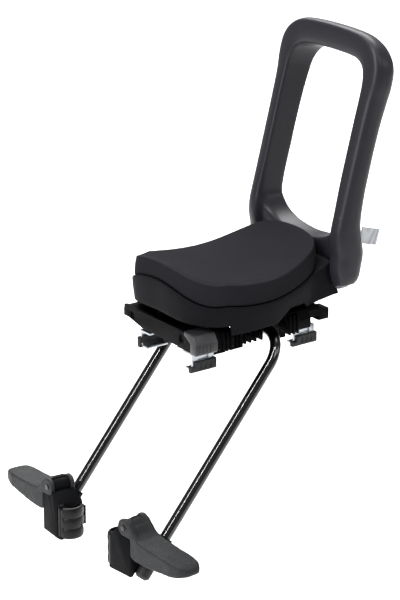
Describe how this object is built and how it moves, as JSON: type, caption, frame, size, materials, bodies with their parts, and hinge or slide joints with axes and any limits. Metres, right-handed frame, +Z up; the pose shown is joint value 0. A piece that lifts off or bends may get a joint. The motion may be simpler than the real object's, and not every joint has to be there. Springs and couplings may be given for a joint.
{
  "type": "child bike seat",
  "caption": "Rear child bike seat with open loop backrest, padded saddle-shaped seat, rack clamps and fold-up footrests on a bent bar.",
  "frame": {"origin": "middle of the four rail clamps, on the plane of the axes of the two rack rails", "axes": "+Z up; -Y forward, the way the child faces and the bicycle travels; +X to the left of the child"},
  "size_m": [0.4516, 0.4795, 0.7093],
  "materials": {
    "cushion": "matte skinned foam",
    "pan": "satin",
    "loop": "satin, soft touch",
    "carrier": "grained black",
    "bar": "gloss black",
    "zinc": "bright zinc plated",
    "boot": "matte",
    "screw": "black zinc",
    "footrest": "fine sand-textured",
    "lever": "satin",
    "pin": "satin",
    "label": "woven"
  },
  "bodies": {
    "seat": {"seat_cushion": "cushion", "seat_pan": "pan", "pan_screws": "screw", "backrest_loop": "loop", "backrest_bolts": "screw", "rack_carrier": "carrier", "footrest_bar": "bar", "bar_saddle_left": "carrier", "bar_saddle_right": "carrier", "saddle_screws": "screw", "clamp_screws": "screw", "bar_cap_left": "boot", "bar_cap_right": "boot", "textile_label": "label"},
    "hook_front_left": {"clamp_hook_front_left": "zinc", "hook_boot_front_left": "boot"},
    "hook_rear_left": {"clamp_hook_rear_left": "zinc", "hook_boot_rear_left": "boot"},
    "hook_front_right": {"clamp_hook_front_right": "zinc", "hook_boot_front_right": "boot"},
    "hook_rear_right": {"clamp_hook_rear_right": "zinc", "hook_boot_rear_right": "boot"},
    "slider_left": {"slider_block_left": "footrest", "lever_pin_left": "pin", "lock_shoe_left": "boot"},
    "pad_left": {"foot_pad_left": "footrest", "pad_pin_left": "pin"},
    "lever_left": {"lock_lever_left": "lever"},
    "slider_right": {"slider_block_right": "footrest", "lever_pin_right": "pin", "lock_shoe_right": "boot"},
    "pad_right": {"foot_pad_right": "footrest", "pad_pin_right": "pin"},
    "lever_right": {"lock_lever_right": "lever"}
  },
  "joints": [
    {"name": "hook_front_left_slide", "type": "slide", "parent": "seat", "child": "hook_front_left", "axis": [1, 0, 0], "range_m": [-0.024, 0.013]},
    {"name": "hook_rear_left_slide", "type": "slide", "parent": "seat", "child": "hook_rear_left", "axis": [1, 0, 0], "range_m": [-0.024, 0.013]},
    {"name": "hook_front_right_slide", "type": "slide", "parent": "seat", "child": "hook_front_right", "axis": [-1, 0, 0], "range_m": [0, 0.041]},
    {"name": "hook_rear_right_slide", "type": "slide", "parent": "seat", "child": "hook_rear_right", "axis": [-1, 0, 0], "range_m": [0, 0.041]},
    {"name": "slider_left_slide", "type": "slide", "parent": "seat", "child": "slider_left", "axis": [0, 0.6408, 0.7677], "range_m": [-0.005, 0.115]},
    {"name": "pad_left_fold", "type": "hinge", "parent": "slider_left", "child": "pad_left", "pos_m": [0.092, -0.2178, -0.20716], "axis": [0.0872, -0.9962, 0], "range_deg": [0, 95]},
    {"name": "lever_left_open", "type": "hinge", "parent": "slider_left", "child": "lever_left", "pos_m": [0.06234, -0.23444, -0.25216], "axis": [0, 0, 1], "range_deg": [0, 90]},
    {"name": "slider_right_slide", "type": "slide", "parent": "seat", "child": "slider_right", "axis": [0, 0.6408, 0.7677], "range_m": [0, 0.12]},
    {"name": "pad_right_fold", "type": "hinge", "parent": "slider_right", "child": "pad_right", "pos_m": [-0.092, -0.221, -0.211], "axis": [0.0872, 0.9962, 0], "range_deg": [0, 95]},
    {"name": "lever_right_open", "type": "hinge", "parent": "slider_right", "child": "lever_right", "pos_m": [-0.06234, -0.23765, -0.256], "axis": [0, 0, -1], "range_deg": [0, 90]}
  ]
}
